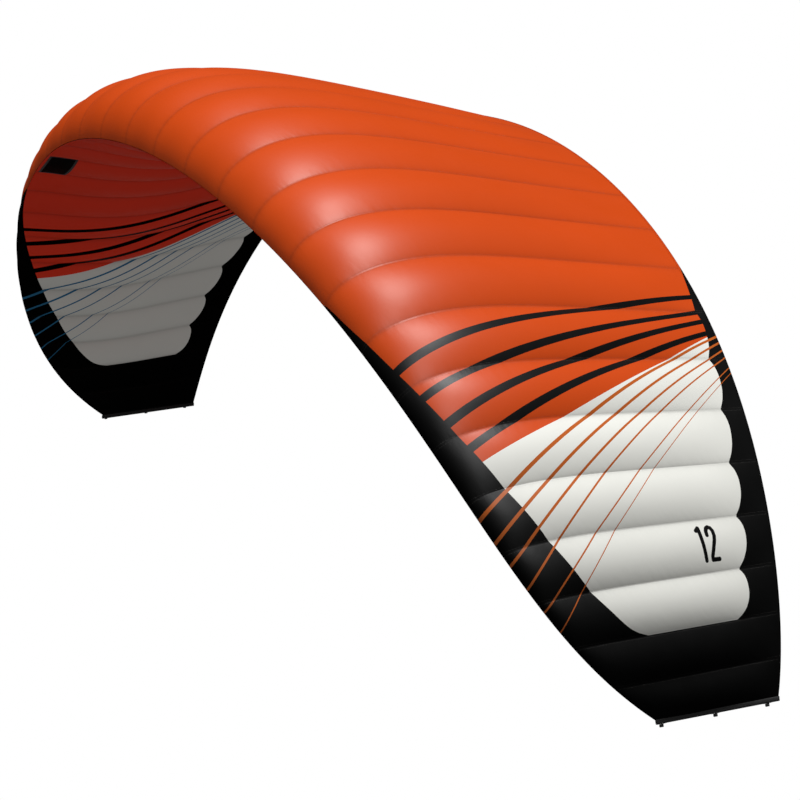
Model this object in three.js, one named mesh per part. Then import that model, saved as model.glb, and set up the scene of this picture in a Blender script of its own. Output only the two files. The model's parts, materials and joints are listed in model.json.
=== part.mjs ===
// A closed-cell, twin-skin, C-shaped kitesurf kite of 12 square metres, with no bridle.
// Millimetres. +X points forward to the nose, +Y to the kite's left tip, +Z up.
// The origin is midway between the middle line loops of the two tips.
// A place on the wing is given by u, the share of the half span from the centre (0) to a tip (1),
// and by f, the share of the chord from the nose (0) to the trailing edge (1).

import * as THREE from 'three';

// ---- driving dimensions ----

const HALF_SPAN = 3914;             // along the arc, from the centre to a tip
const TILT = [0.990, 0.173, 0.217]; // radians of lean at the tip, from u, u^3 and u^5
const SETBACK = [0.153, -0.030, 0.092, 0.020]; // nose set back, in half spans: u^2, u^4, u^8, u^16
const CHORD = [0.482, -0.237, -0.016, -0.056, -0.032]; // chord, in half spans: 1, u^2, u^4, u^8, u^16
const POWERS = [2, 4, 8, 16];       // the powers of u that the set-back and the chord use
const TWIST_CENTRE = 1.57;          // degrees, nose down, about the quarter chord
const TWIST_WASH = -2.25;           // degrees of twist gained by u^2

const UPPER_SHAPE = [0.465, 0.378, 0.236, 0.223]; // class-shape weights of the upper surface
const LOWER_SHAPE = [0.007, 0.400, -0.202];       // and of the lower surface
const TIP_THICKNESS = 0.458;        // section thickness at the tip, as a share of the centre's
const THICKNESS_POWER = 1.76;       // how the thickness falls towards the tip
const TIP_CLOSE = 0.9;              // share of the thickness that the last cell loses at the tip
const TIP_CLOSE_POWER = 14;         // how late it loses it

const CELLS = 15;                   // cells on each side of the centre rib
const CELL_SPREAD = 0.266;          // how much wider the centre cells are than the mean
const CELL_POWER = 1.665;           // how the cell width falls towards the tip
const BULGE = 0.085;                // height of a cell's bulge, as a share of the cell's width
const BULGE_FRONT = 0.6;            // below 1, the bulge is fullest ahead of mid-chord

const SKIN = 2;                     // thickness of a skin solid
const TOUCH = 0.4;                  // gap between pieces that touch
const EDGE_HALF = SKIN + TOUCH / 2; // half thickness of the sewn trailing edge
const RIB = 2;                      // thickness of a rib plate
const RIB_INSET = SKIN + 1.5;       // from the outer surface to the rib's edge
const RIB_MIN_DEPTH = 6;            // a rib stops where the wing is thinner than this inside
const RIB_HOLES = [[0.12, 0.045], [0.27, 0.055], [0.43, 0.05]]; // place and half length, in chords
const RIB_HOLE_TALL = 0.3;          // half height of a hole, as a share of the rib's depth there
const RIB_HOLE_LEAST = 6;           // a hole flatter than this is left out

const UPPER_STEPS = 12;             // chordwise facets of the upper skin
const LOWER_MARKS = [0, 0.012, 0.085, 0.18, 0.30, 0.44, 0.62, 0.86, 1]; // lower skin's facet edges

const FLEX_RIBS = [3, 7];           // ribs where the wing's flex hinges are
const TWIST_RIB = 12;               // rib where a tip section twists
const FLEX_GAP = 7;                 // skins stop this far from a flex hinge's plane
const TWIST_GAP = 1;                // and this far from a twist plane
const RIB_SETBACK = 2;              // centre of an end rib, behind the end of its skins

const INTAKE_CELL = 4;              // the air intake is in the cell outside this rib
const INTAKE_MARK = 1;              // it opens the lower skin's facet row that starts at this mark
const SCREEN_EDGE = 0.5;            // gap between the intake's screen and the opening's edge
const SCREEN_FACES = [0.15, 0.85];  // depth of the screen's faces, as shares of the skin's thickness
const SCREEN_HOLES = [8, 3];        // holes across the cell and along the chord
const SCREEN_BAR = 0.16;            // half width of a bar, as a share of a hole's pitch
const FLAP = 1.2;                   // thickness of the valve flap
const FLAP_RISE = 4;                // clear height from the skin's inside up to the closed flap
const FLAP_MARGIN = [18, 9];        // from the opening's edge to the flap's, across and along

const ZIP_MARK = 6;                 // the zip lies along the lower skin's facet that starts here
const ZIP_CELL = 0.5;               // halfway across the cell on the left of the centre rib
const ZIP_WIDTH = 26;               // tape
const ZIP_TAPE = 1;
const ZIP_TEETH = [5, 1.6];         // width and height of the closed teeth
const ZIP_END = 14;                 // tape beyond each end of the slider's travel
const SLIDER = [14, 11, 6];         // length, width and height of the slider
const SLIDER_BEVEL = [2, 1];        // its bevelled top corners: width and height
const PULL = [34, 8, 1.4];          // length, width and thickness of the pull tab
const PULL_EYE = 2;                 // radius of the hole in the pull tab's free end
const PULL_OVERLAP = 4;             // length of the pull tab that lies over the slider

const TIP_OVERHANG = 3;             // sleeve beyond the nose and the trailing edge
const SLEEVE = [11, 13];            // webbing sleeve on the tip edge: across the wing and along u
const SLEEVE_CORNER = 3;
const BATTEN_BORE = 3.2;            // radius of the sleeve's bore
const BATTEN = 2.5;                 // radius of the batten rod
const LOOP_PLACES = [0.035, 0.475, 0.905]; // places of the line loops along the tip chord
const LOOP_NAMES = ['front', 'middle', 'rear'];
const LOOP_WEBBING = 15;            // width of the loop's webbing, along the chord
const LOOP_RADIUS = 4.6;            // outer radius of the loop's round end
const LOOP_WALL = 1.6;
const LOOP_REACH = 8;               // from the hinge axis to the loop's flat foot

// ---- colours ----

const ORANGE = [0xdf5a16, 0.55, 0];
const BLACK = [0x17171a, 0.45, 0];
const WHITE = [0xe9e9e4, 0.55, 0];
const WEBBING = [0x1c1c1e, 0.85, 0];
const RIB_CLOTH = [0xd8d8d2, 0.7, 0];
const VALVE_CLOTH = [0x202022, 0.7, 0];
const PLASTIC = [0x2a2b2d, 0.5, 0];
const FIBRE = [0x3a3a38, 0.35, 0];

// ---- the wing's shape ----

const ARC_STEPS = 400;
const CURVE_SEGMENTS = 5;

// lean of the wing at u, in radians
function lean(u) {
  return TILT[0] * u + TILT[1] * u ** 3 + TILT[2] * u ** 5;
}

function sumOfPowers(u, weights) {
  return weights.reduce((total, weight, i) => total + weight * u ** POWERS[i], 0);
}

function chordAt(u) {
  return HALF_SPAN * (CHORD[0] + sumOfPowers(u, CHORD.slice(1)));
}

function setbackAt(u) {
  return HALF_SPAN * sumOfPowers(u, SETBACK);
}

function twistAt(u) {
  return THREE.MathUtils.degToRad(TWIST_CENTRE + TWIST_WASH * u * u);
}

// the arc that the nose follows in the front view, as running sums: [across, up] at each step
const ARC = (() => {
  const points = [[0, 0]];
  const step = HALF_SPAN / ARC_STEPS;
  for (let i = 0; i < ARC_STEPS; i++) {
    const angle = lean((i + 0.5) / ARC_STEPS);
    const [across, up] = points[i];
    points.push([across + step * Math.cos(angle), up - step * Math.sin(angle)]);
  }
  return points;
})();

function arcPoint(u) {
  const place = Math.min(u, 1) * ARC_STEPS;
  const i = Math.min(Math.floor(place), ARC_STEPS - 1);
  const [a, b] = [ARC[i], ARC[i + 1]];
  const part = place - i;
  const beyond = Math.max(u - 1, 0) * HALF_SPAN;
  return [
    a[0] + (b[0] - a[0]) * part + beyond * Math.cos(lean(1)),
    a[1] + (b[1] - a[1]) * part - beyond * Math.sin(lean(1)),
  ];
}

// u of rib j, counted from the centre rib; j may be a fraction, and is negative on the right
function station(j) {
  const t = Math.abs(j) / CELLS;
  return Math.sign(j) * t * (1 + CELL_SPREAD * (1 - t ** CELL_POWER));
}

function bernstein(weights, f) {
  const n = weights.length - 1;
  const choose = n === 3 ? [1, 3, 3, 1] : [1, 2, 1];
  return weights.reduce((sum, w, i) => sum + w * choose[i] * f ** i * (1 - f) ** (n - i), 0);
}

// heights of the upper and lower surface above the chord line at f, as shares of the chord
function sectionHeights(u, f) {
  const a = Math.abs(u);
  const thin = (1 + (TIP_THICKNESS - 1) * a ** THICKNESS_POWER) * (1 - TIP_CLOSE * a ** TIP_CLOSE_POWER);
  const form = thin * Math.sqrt(f) * (1 - f);
  return [form * bernstein(UPPER_SHAPE, f), -form * bernstein(LOWER_SHAPE, f)];
}

// outer face of one side of the section, as [x, z] in mm behind the nose and above the chord line
function outerPoint(u, f, upper) {
  const chord = chordAt(Math.abs(u));
  const [top, bottom] = sectionHeights(u, f).map((h) => h * chord);
  const half = Math.max((top - bottom) / 2, EDGE_HALF);
  const middle = (top + bottom) / 2;
  return new THREE.Vector2(f * chord, upper ? middle + half : middle - half);
}

// from the section's own plane to the row frame
function place(u, point) {
  const a = Math.abs(u);
  const side = u < 0 ? -1 : 1;
  const quarter = chordAt(a) / 4;
  const twist = twistAt(a);
  const back = quarter + (point.x - quarter) * Math.cos(twist) + point.y * Math.sin(twist);
  const rise = -(point.x - quarter) * Math.sin(twist) + point.y * Math.cos(twist);
  const [across, up] = arcPoint(a);
  const angle = lean(Math.min(a, 1));
  return new THREE.Vector3(
    -setbackAt(Math.min(a, 1)) - back,
    side * (across + rise * Math.sin(angle)),
    up + rise * Math.cos(angle),
  ).sub(ORIGIN);
}

// middle of the chord line's height at f, where the two surfaces are equally far
function camberPoint(u, f) {
  return outerPoint(u, f, true).add(outerPoint(u, f, false)).multiplyScalar(0.5);
}

// the tip edge: the line that the sleeve follows, just outside the skins
const SLEEVE_U = 1 + (SLEEVE[1] / 2 + TOUCH) / HALF_SPAN;
const LOOP_U = 1 + (SLEEVE[1] + 2 * TOUCH + LOOP_RADIUS) / HALF_SPAN;

// the origin, in a frame that starts at the nose of the centre section
const ORIGIN = new THREE.Vector3();
{
  const middleLoop = place(LOOP_U, camberPoint(1, LOOP_PLACES[1]));
  ORIGIN.set(middleLoop.x, 0, middleLoop.z);
}

// ---- helpers that make meshes ----

function mesh(name, geometry, [color, roughness, metalness]) {
  const material = new THREE.MeshStandardMaterial({ color, roughness, metalness });
  const made = new THREE.Mesh(geometry, material);
  made.name = name;
  return made;
}

// a closed shell between an outer and an inner grid of points, rows[i][k]; open(i, k) leaves a facet out
function closedShell(outer, inner, open = () => false) {
  const rows = outer.length;
  const columns = outer[0].length;
  const positions = [...outer.flat(), ...inner.flat()].flatMap((p) => [p.x, p.y, p.z]);
  const index = [];
  const at = (layer, i, k) => (layer * rows + i) * columns + k;
  const quad = (a, b, c, d) => index.push(a, b, c, a, c, d);
  const isOpen = (i, k) => i < 0 || k < 0 || i >= rows - 1 || k >= columns - 1 || open(i, k);
  for (let i = 0; i < rows - 1; i++) {
    for (let k = 0; k < columns - 1; k++) {
      if (open(i, k)) continue;
      quad(at(0, i, k), at(0, i + 1, k), at(0, i + 1, k + 1), at(0, i, k + 1));
      quad(at(1, i, k), at(1, i, k + 1), at(1, i + 1, k + 1), at(1, i + 1, k));
      if (isOpen(i - 1, k)) quad(at(0, i, k), at(0, i, k + 1), at(1, i, k + 1), at(1, i, k));
      if (isOpen(i + 1, k)) quad(at(0, i + 1, k + 1), at(0, i + 1, k), at(1, i + 1, k), at(1, i + 1, k + 1));
      if (isOpen(i, k - 1)) quad(at(0, i + 1, k), at(0, i, k), at(1, i, k), at(1, i + 1, k));
      if (isOpen(i, k + 1)) quad(at(0, i, k + 1), at(0, i + 1, k + 1), at(1, i + 1, k + 1), at(1, i, k + 1));
    }
  }
  const geometry = new THREE.BufferGeometry();
  geometry.setAttribute('position', new THREE.Float32BufferAttribute(positions, 3));
  geometry.setIndex(signedVolume(positions, index) < 0 ? flipped(index) : index);
  return geometry;
}

function signedVolume(positions, index) {
  const point = (n) => new THREE.Vector3().fromArray(positions, 3 * n);
  let volume = 0;
  for (let n = 0; n < index.length; n += 3) {
    const [a, b, c] = [point(index[n]), point(index[n + 1]), point(index[n + 2])];
    volume += a.dot(b.cross(c)) / 6;
  }
  return volume;
}

function flipped(index) {
  const turned = [];
  for (let n = 0; n < index.length; n += 3) turned.push(index[n], index[n + 2], index[n + 1]);
  return turned;
}

// the matrix that carries a flat shape, drawn in a section's plane, to the wing at u
function sectionMatrix(u) {
  const zero = place(u, new THREE.Vector2(0, 0));
  const back = place(u, new THREE.Vector2(1, 0)).sub(zero);
  const rise = place(u, new THREE.Vector2(0, 1)).sub(zero);
  const out = new THREE.Vector3().crossVectors(back, rise);
  return new THREE.Matrix4().makeBasis(back, rise, out).setPosition(zero);
}

// the matrix of a frame with its origin, x axis and a direction near its z axis given
function frameMatrix(origin, alongX, nearZ) {
  const x = alongX.clone().normalize();
  const y = new THREE.Vector3().crossVectors(nearZ, x).normalize();
  const z = new THREE.Vector3().crossVectors(x, y);
  return new THREE.Matrix4().makeBasis(x, y, z).setPosition(origin);
}

// a shape extruded to both sides of its plane, then carried to its place
function plate(shape, thickness, matrix) {
  const geometry = new THREE.ExtrudeGeometry(shape, {
    depth: thickness, bevelEnabled: false, steps: 1, curveSegments: CURVE_SEGMENTS,
  });
  return geometry.translate(0, 0, -thickness / 2).applyMatrix4(matrix);
}

function ellipse(x, y, radiusX, radiusY = radiusX) {
  return new THREE.Shape().absellipse(x, y, radiusX, radiusY, 0, 2 * Math.PI, false);
}

function polygon(corners) {
  return new THREE.Shape(corners.map(([x, y]) => new THREE.Vector2(x, y)));
}

function rectangle(length, width) {
  const [a, b] = [length / 2, width / 2];
  return polygon([[-a, -b], [a, -b], [a, b], [-a, b]]);
}

// ---- skins ----

const UPPER_MARKS = Array.from({ length: UPPER_STEPS + 1 }, (_, i) => (i / UPPER_STEPS) ** 2);

function bulgeAt(j, f) {
  const part = Math.abs(j) % 1;
  const cell = Math.floor(Math.abs(j));
  if (part === 0 || cell >= CELLS) return 0;
  const width = HALF_SPAN * (station(cell + 1) - station(cell));
  return BULGE * width * Math.sin(Math.PI * part) * Math.sin(Math.PI * f ** BULGE_FRONT);
}

// the outer and inner points of one skin on the section at j, moved along the span by shift mm
function skinRow(j, upper, shift) {
  const u = station(j) + shift / HALF_SPAN;
  const marks = upper ? UPPER_MARKS : LOWER_MARKS;
  const outward = upper ? 1 : -1;
  const bare = marks.map((f) => outerPoint(u, f, upper));
  const normals = bare.map((point, k) => {
    const before = bare[Math.max(k - 1, 0)];
    const after = bare[Math.min(k + 1, bare.length - 1)];
    const along = after.clone().sub(before).normalize();
    return new THREE.Vector2(-along.y, along.x).multiplyScalar(outward);
  });
  const outer = bare.map((point, k) => point.clone().addScaledVector(normals[k], bulgeAt(j, marks[k])));
  const inner = outer.map((point, k) => point.clone().addScaledVector(normals[k], -SKIN));
  return [outer.map((p) => place(u, p)), inner.map((p) => place(u, p))];
}

// the sections that a skin passes: every rib and the middle of every cell, from rib a to rib b
function spanMarks(a, b) {
  return Array.from({ length: 2 * (b - a) + 1 }, (_, i) => a + i / 2);
}

function skin(name, upper, marks, gaps, finish, open) {
  const last = marks.length - 1;
  const rows = marks.map((j, i) => {
    const shift = i === 0 ? gaps[0] : i === last ? -gaps[1] : 0;
    return skinRow(j, upper, shift);
  });
  return mesh(name, closedShell(rows.map((r) => r[0]), rows.map((r) => r[1]), open), finish);
}

// ---- ribs ----

// height of a skin's facet, in the section's plane, at x behind the nose
function facetHeight(points, x) {
  const k = Math.max(1, points.findIndex((p) => p.x >= x));
  const [a, b] = [points[k - 1], points[k]];
  const slope = (b.y - a.y) / (b.x - a.x);
  return [a.y + slope * (x - a.x), slope];
}

// the rib's upper and lower edge, each with a corner at every facet edge of its skin
function ribOutline(u) {
  const chord = chordAt(Math.abs(u));
  const top = UPPER_MARKS.map((f) => outerPoint(u, f, true));
  const bottom = LOWER_MARKS.map((f) => outerPoint(u, f, false));
  const edgeAt = (x) => {
    const [high, highSlope] = facetHeight(top, x);
    const [low, lowSlope] = facetHeight(bottom, x);
    return [high - RIB_INSET * Math.hypot(1, highSlope), low + RIB_INSET * Math.hypot(1, lowSlope)];
  };
  const edge = (marks, which) => [RIB_INSET, ...marks.slice(1, -1).map((f) => f * chord)]
    .filter((x) => edgeAt(x)[0] - edgeAt(x)[1] >= RIB_MIN_DEPTH)
    .map((x) => new THREE.Vector2(x, edgeAt(x)[which]));
  return [edge(UPPER_MARKS, 0), edge(LOWER_MARKS, 1)];
}

// cross-flow holes: ellipses centred between the rib's edges
function ribHoles(upperEdge, lowerEdge, chord) {
  return RIB_HOLES.flatMap(([f, half]) => {
    const [high] = facetHeight(upperEdge, f * chord);
    const [low] = facetHeight(lowerEdge, f * chord);
    const tall = (high - low) * RIB_HOLE_TALL;
    return tall > RIB_HOLE_LEAST ? [ellipse(f * chord, (high + low) / 2, half * chord, tall)] : [];
  });
}

function rib(name, j, shift) {
  const u = station(j) + shift / HALF_SPAN;
  const [upperEdge, lowerEdge] = ribOutline(u);
  const shape = new THREE.Shape([...upperEdge, ...lowerEdge.toReversed()]);
  shape.holes = ribHoles(upperEdge, lowerEdge, chordAt(Math.abs(u)));
  return mesh(name, plate(shape, RIB, sectionMatrix(u)), RIB_CLOTH);
}

// ---- tip edges ----

// frame on the tip edge at f: x runs forward along the chord, z points out, away from the wing's end
function tipFrame(side, u, f) {
  const spot = place(side * u, camberPoint(side, f));
  const forward = place(side * u, camberPoint(side, 0)).sub(place(side * u, camberPoint(side, 1)));
  const outward = spot.clone().sub(place(side, camberPoint(side, f)));
  return frameMatrix(spot, forward, outward);
}

function tipLength() {
  return chordAt(1) + 2 * TIP_OVERHANG;
}

// turns a shape's plane so that its extrusion runs along the frame's x axis, and shape y is frame z
function alongChord(matrix) {
  const x = new THREE.Vector3();
  const y = new THREE.Vector3();
  const z = new THREE.Vector3();
  matrix.extractBasis(x, y, z);
  const turned = new THREE.Matrix4().makeBasis(y, z, x);
  return turned.copyPosition(matrix);
}

function tipSleeve(name, side) {
  const [a, b, c] = [SLEEVE[0] / 2, SLEEVE[1] / 2, SLEEVE_CORNER];
  const shape = polygon([[-a, -b], [a, -b], [a, b - c], [a - c, b], [-a + c, b], [-a, b - c]]);
  shape.holes = [ellipse(0, 0, BATTEN_BORE)];
  const frame = alongChord(tipFrame(side, SLEEVE_U, 0.5));
  return mesh(name, plate(shape, tipLength(), frame), WEBBING);
}

function tipBatten(name, side) {
  const frame = alongChord(tipFrame(side, SLEEVE_U, 0.5));
  return mesh(name, plate(ellipse(0, 0, BATTEN), tipLength() - 2 * SLEEVE_CORNER, frame), FIBRE);
}

// a webbing loop: a round head on the hinge axis and a flat foot, with a hole for the line
function lineLoop(name, side, f) {
  const [r, wall] = [LOOP_RADIUS, LOOP_WALL];
  const shape = new THREE.Shape();
  shape.moveTo(-r, LOOP_REACH);
  shape.lineTo(-r, 0);
  shape.absarc(0, 0, r, Math.PI, 2 * Math.PI, false);
  shape.lineTo(r, LOOP_REACH);
  const hole = new THREE.Path();
  hole.moveTo(-r + wall, LOOP_REACH - wall);
  hole.lineTo(r - wall, LOOP_REACH - wall);
  hole.lineTo(r - wall, 0);
  hole.absarc(0, 0, r - wall, 0, Math.PI, true);
  shape.holes = [hole];
  const frame = alongChord(tipFrame(side, LOOP_U, f));
  return mesh(name, plate(shape, LOOP_WEBBING, frame), WEBBING);
}

// ---- air intakes ----

// frame in an intake: x along the span, outwards from the centre; z out of the wing, downwards
function intakeFrame(side) {
  const [near, far] = [INTAKE_MARK, INTAKE_MARK + 1].map((k) => LOWER_MARKS[k]);
  const [a, b] = [INTAKE_CELL, INTAKE_CELL + 1].map((j) => station(side * j));
  const corner = (u, f) => place(u, outerPoint(u, f, false));
  const corners = [corner(a, near), corner(b, near), corner(b, far), corner(a, far)];
  const middle = corners.reduce((sum, p) => sum.add(p), new THREE.Vector3()).divideScalar(4);
  const span = corners[1].clone().add(corners[2]).sub(corners[0]).sub(corners[3]).divideScalar(2);
  const chordwise = corners[2].clone().add(corners[3]).sub(corners[0]).sub(corners[1]).divideScalar(2);
  const outward = new THREE.Vector3().crossVectors(span, chordwise).normalize();
  if (outward.z > 0) outward.negate();
  const matrix = frameMatrix(middle, span, outward);
  return { matrix, width: span.length(), depth: chordwise.length() };
}

// a place in the opening: s across the cell, t along the chord, share into the skin's thickness
function intakePoint(rows, s, t, share) {
  const at = (row) => {
    const [outer, inner] = row.map((p) => p[INTAKE_MARK].clone().lerp(p[INTAKE_MARK + 1], t));
    return outer.lerp(inner, share);
  };
  const half = s < 0.5 ? 0 : 1;
  return at(rows[half]).lerp(at(rows[half + 1]), 2 * s - half);
}

// facet edges of the screen one way, from 0 to 1: rim, hole, bar, hole, ..., rim; margin is a share
function screenMarks(holes, margin) {
  const sides = Array.from({ length: holes }, (_, n) => [n + SCREEN_BAR, n + 1 - SCREEN_BAR]);
  return [0, ...sides.flat(), holes].map((mark) => margin + (mark / holes) * (1 - 2 * margin));
}

// a net that fills the opening, on the same facets as the skin around it
function intakeScreen(name, side) {
  const rows = [0, 0.5, 1].map((part) => skinRow(side * (INTAKE_CELL + part), false, 0));
  const { width, depth } = intakeFrame(side);
  const across = screenMarks(SCREEN_HOLES[0], SCREEN_EDGE / width);
  const along = screenMarks(SCREEN_HOLES[1], SCREEN_EDGE / depth);
  const [outer, inner] = SCREEN_FACES.map((share) => (
    across.map((s) => along.map((t) => intakePoint(rows, s, t, share)))
  ));
  return mesh(name, closedShell(outer, inner, (i, k) => i % 2 === 1 && k % 2 === 1), PLASTIC);
}

function valveFlap(name, side) {
  const { matrix, width, depth } = intakeFrame(side);
  const drop = new THREE.Matrix4().makeTranslation(0, 0, -SKIN - FLAP_RISE - FLAP / 2);
  const shape = rectangle(width - 2 * FLAP_MARGIN[0], depth - 2 * FLAP_MARGIN[1]);
  return mesh(name, plate(shape, FLAP, matrix.multiply(drop)), VALVE_CLOTH);
}

// ---- deflate zip ----

// frame on the lower skin: x runs aft along the zip, z out of the wing
function zipFrame() {
  const u = station(ZIP_CELL);
  const [row] = skinRow(ZIP_CELL, false, 0);
  const [a, b] = [row[ZIP_MARK], row[ZIP_MARK + 1]];
  const middle = a.clone().add(b).divideScalar(2);
  const rise = place(u, new THREE.Vector2(0, -1)).sub(place(u, new THREE.Vector2(0, 0)));
  return { matrix: frameMatrix(middle, b.clone().sub(a), rise), length: a.distanceTo(b) };
}

function zipLength() {
  return zipFrame().length - 2 * ZIP_WIDTH;
}

function zipTape(name) {
  const [a, b] = [ZIP_WIDTH / 2, ZIP_TEETH[0] / 2];
  const [base, top] = [TOUCH, TOUCH + ZIP_TAPE];
  const crest = top + ZIP_TEETH[1];
  const shape = polygon([
    [-a, base], [a, base], [a, top], [b, top], [b, crest], [-b, crest], [-b, top], [-a, top],
  ]);
  return mesh(name, plate(shape, zipLength(), alongChord(zipFrame().matrix)), BLACK);
}

// the slider's rest place is the closed end, towards the trailing edge
function sliderPlace() {
  return zipLength() / 2 - ZIP_END;
}

// the slider straddles the teeth
function zipSlider(name) {
  const [length, width, height] = SLIDER;
  const [bevelWide, bevelHigh] = SLIDER_BEVEL;
  const [a, b] = [width / 2, ZIP_TEETH[0] / 2 + TOUCH];
  const bottom = 2 * TOUCH + ZIP_TAPE;
  const roof = bottom + ZIP_TEETH[1];
  const shape = polygon([
    [-a, bottom], [-b, bottom], [-b, roof], [b, roof], [b, bottom], [a, bottom],
    [a, height - bevelHigh], [a - bevelWide, height], [-a + bevelWide, height], [-a, height - bevelHigh],
  ]);
  const matrix = zipFrame().matrix.multiply(new THREE.Matrix4().makeTranslation(sliderPlace(), 0, 0));
  return mesh(name, plate(shape, length, alongChord(matrix)), PLASTIC);
}

// at rest the pull tab lies forward along the teeth
function pullTab(name) {
  const [length, width, thickness] = PULL;
  const shape = rectangle(length, width);
  shape.holes = [ellipse(-length / 2 + 2 * PULL_EYE, 0, PULL_EYE)];
  const rise = SLIDER[2] + TOUCH + thickness / 2;
  const x = sliderPlace() - SLIDER[0] / 2 + PULL_OVERLAP - length / 2;
  const matrix = zipFrame().matrix.multiply(new THREE.Matrix4().makeTranslation(x, 0, rise));
  return mesh(name, plate(shape, thickness, matrix), FIBRE);
}

// ---- the assembly ----

const [FLEX_A, FLEX_B] = FLEX_RIBS;

// sections of one half: name, inner rib, outer rib, gap at each end, finish
const SECTIONS = [
  ['inner', FLEX_A, FLEX_B, [FLEX_GAP, FLEX_GAP], ORANGE],
  ['outer', FLEX_B, TWIST_RIB, [FLEX_GAP, TWIST_GAP], WHITE],
  ['tip', TWIST_RIB, CELLS, [TWIST_GAP, 0], BLACK],
];

// how far a rib sits inboard of its seam: ribs at a hinge stand inside their skins' end
function endShift(j) {
  if (FLEX_RIBS.includes(j)) return FLEX_GAP + RIB_SETBACK;
  return j === TWIST_RIB ? TWIST_GAP + RIB_SETBACK : 0;
}

// facets of the lower skin that the intake leaves open, for a skin with these span marks
function intakeFacets(marks) {
  return (i, k) => {
    const middle = Math.abs(marks[i] + marks[i + 1]) / 2;
    return k === INTAKE_MARK && Math.floor(middle) === INTAKE_CELL;
  };
}

function centreSection() {
  const gaps = [FLEX_GAP, FLEX_GAP];
  const marks = spanMarks(-FLEX_A, FLEX_A);
  return [
    skin('centre_upper_skin', true, marks, gaps, ORANGE),
    skin('centre_lower_skin', false, marks, gaps, ORANGE),
    rib('centre_rib', 0, 0),
    zipTape('deflate_zip'),
    zipSlider('deflate_zip_slider'),
    pullTab('deflate_zip_pull'),
  ];
}

function sectionSkins(hand, side, [name, from, to, gaps, finish]) {
  const marks = side > 0 ? spanMarks(from, to) : spanMarks(-to, -from);
  const ends = side > 0 ? gaps : gaps.toReversed();
  return [
    skin(`${hand}_${name}_upper_skin`, true, marks, ends, finish),
    skin(`${hand}_${name}_lower_skin`, false, marks, ends, finish, intakeFacets(marks)),
  ];
}

function half(hand, side) {
  const ribs = Array.from({ length: CELLS - 1 }, (_, i) => i + 1);
  return [
    ...SECTIONS.flatMap((section) => sectionSkins(hand, side, section)),
    ...ribs.map((j) => rib(`${hand}_rib_${j}`, side * j, -side * endShift(j))),
    tipSleeve(`${hand}_tip_sleeve`, side),
    tipBatten(`${hand}_tip_batten`, side),
    ...LOOP_PLACES.map((f, i) => lineLoop(`${hand}_${LOOP_NAMES[i]}_line_loop`, side, f)),
    intakeScreen(`${hand}_intake_screen`, side),
    valveFlap(`${hand}_valve_flap`, side),
  ];
}

const kite = new THREE.Group();
kite.add(...centreSection(), ...half('left', 1), ...half('right', -1));

export default kite;
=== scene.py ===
"""A closed-cell kitesurf kite in the air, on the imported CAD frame. Metres, +X to the nose, +Z up.

u is the share of the half span from the centre (0) to a tip (1), f the share of the chord from the
nose (0) to the trailing edge (1), and j counts the ribs from the centre rib.
"""

import json
import math

import bmesh
import bpy
import numpy as np
from mathutils import Matrix, Vector


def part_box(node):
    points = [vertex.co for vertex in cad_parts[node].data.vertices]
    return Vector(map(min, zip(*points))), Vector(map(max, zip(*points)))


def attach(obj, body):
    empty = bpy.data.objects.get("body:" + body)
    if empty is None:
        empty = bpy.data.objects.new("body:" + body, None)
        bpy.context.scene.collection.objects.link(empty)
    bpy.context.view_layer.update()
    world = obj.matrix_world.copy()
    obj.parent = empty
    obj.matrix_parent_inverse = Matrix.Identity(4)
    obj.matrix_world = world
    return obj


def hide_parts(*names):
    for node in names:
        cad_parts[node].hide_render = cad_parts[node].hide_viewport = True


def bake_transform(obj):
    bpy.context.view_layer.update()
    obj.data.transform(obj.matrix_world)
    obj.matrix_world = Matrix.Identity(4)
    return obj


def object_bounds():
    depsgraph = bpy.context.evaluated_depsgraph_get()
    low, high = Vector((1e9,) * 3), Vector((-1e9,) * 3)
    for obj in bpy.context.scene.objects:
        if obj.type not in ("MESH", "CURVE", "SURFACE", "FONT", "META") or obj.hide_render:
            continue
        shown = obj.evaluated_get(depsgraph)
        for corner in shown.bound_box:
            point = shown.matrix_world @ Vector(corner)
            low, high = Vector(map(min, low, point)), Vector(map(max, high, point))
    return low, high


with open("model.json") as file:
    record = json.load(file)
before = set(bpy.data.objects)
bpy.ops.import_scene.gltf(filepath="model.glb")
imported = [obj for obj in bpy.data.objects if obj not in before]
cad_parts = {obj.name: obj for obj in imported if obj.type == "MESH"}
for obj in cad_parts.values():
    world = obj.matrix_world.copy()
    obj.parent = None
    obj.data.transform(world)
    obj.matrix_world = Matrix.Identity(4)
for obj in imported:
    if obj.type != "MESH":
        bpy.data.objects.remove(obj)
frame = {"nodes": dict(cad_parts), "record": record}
cad_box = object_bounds()

# ---- the wing's shape, as the CAD has it, in metres ----

HALF_SPAN = 3.914
TILT = (0.990, 0.173, 0.217)
SETBACK = (0.153, -0.030, 0.092, 0.020)
CHORD = (0.482, -0.237, -0.016, -0.056, -0.032)
POWERS = (2, 4, 8, 16)
TWIST_CENTRE, TWIST_WASH = 1.57, -2.25
UPPER_SHAPE = (0.465, 0.378, 0.236, 0.223)
LOWER_SHAPE = (0.007, 0.400, -0.202)
TIP_THICKNESS, THICKNESS_POWER = 0.458, 1.76
TIP_CLOSE, TIP_CLOSE_POWER = 0.9, 14
CELLS, CELL_SPREAD, CELL_POWER = 15, 0.266, 1.665
BULGE, BULGE_FRONT = 0.085, 0.6
EDGE_HALF = 0.0012
ORIGIN = (-1.181911, 0.0, -1.984828)
HANDS = (("left", 1), ("right", -1))

ARC_STEPS = 400
ARC_U = np.linspace(0, 1, ARC_STEPS + 1)


def lean(u):
    return TILT[0] * u + TILT[1] * u**3 + TILT[2] * u**5


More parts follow.
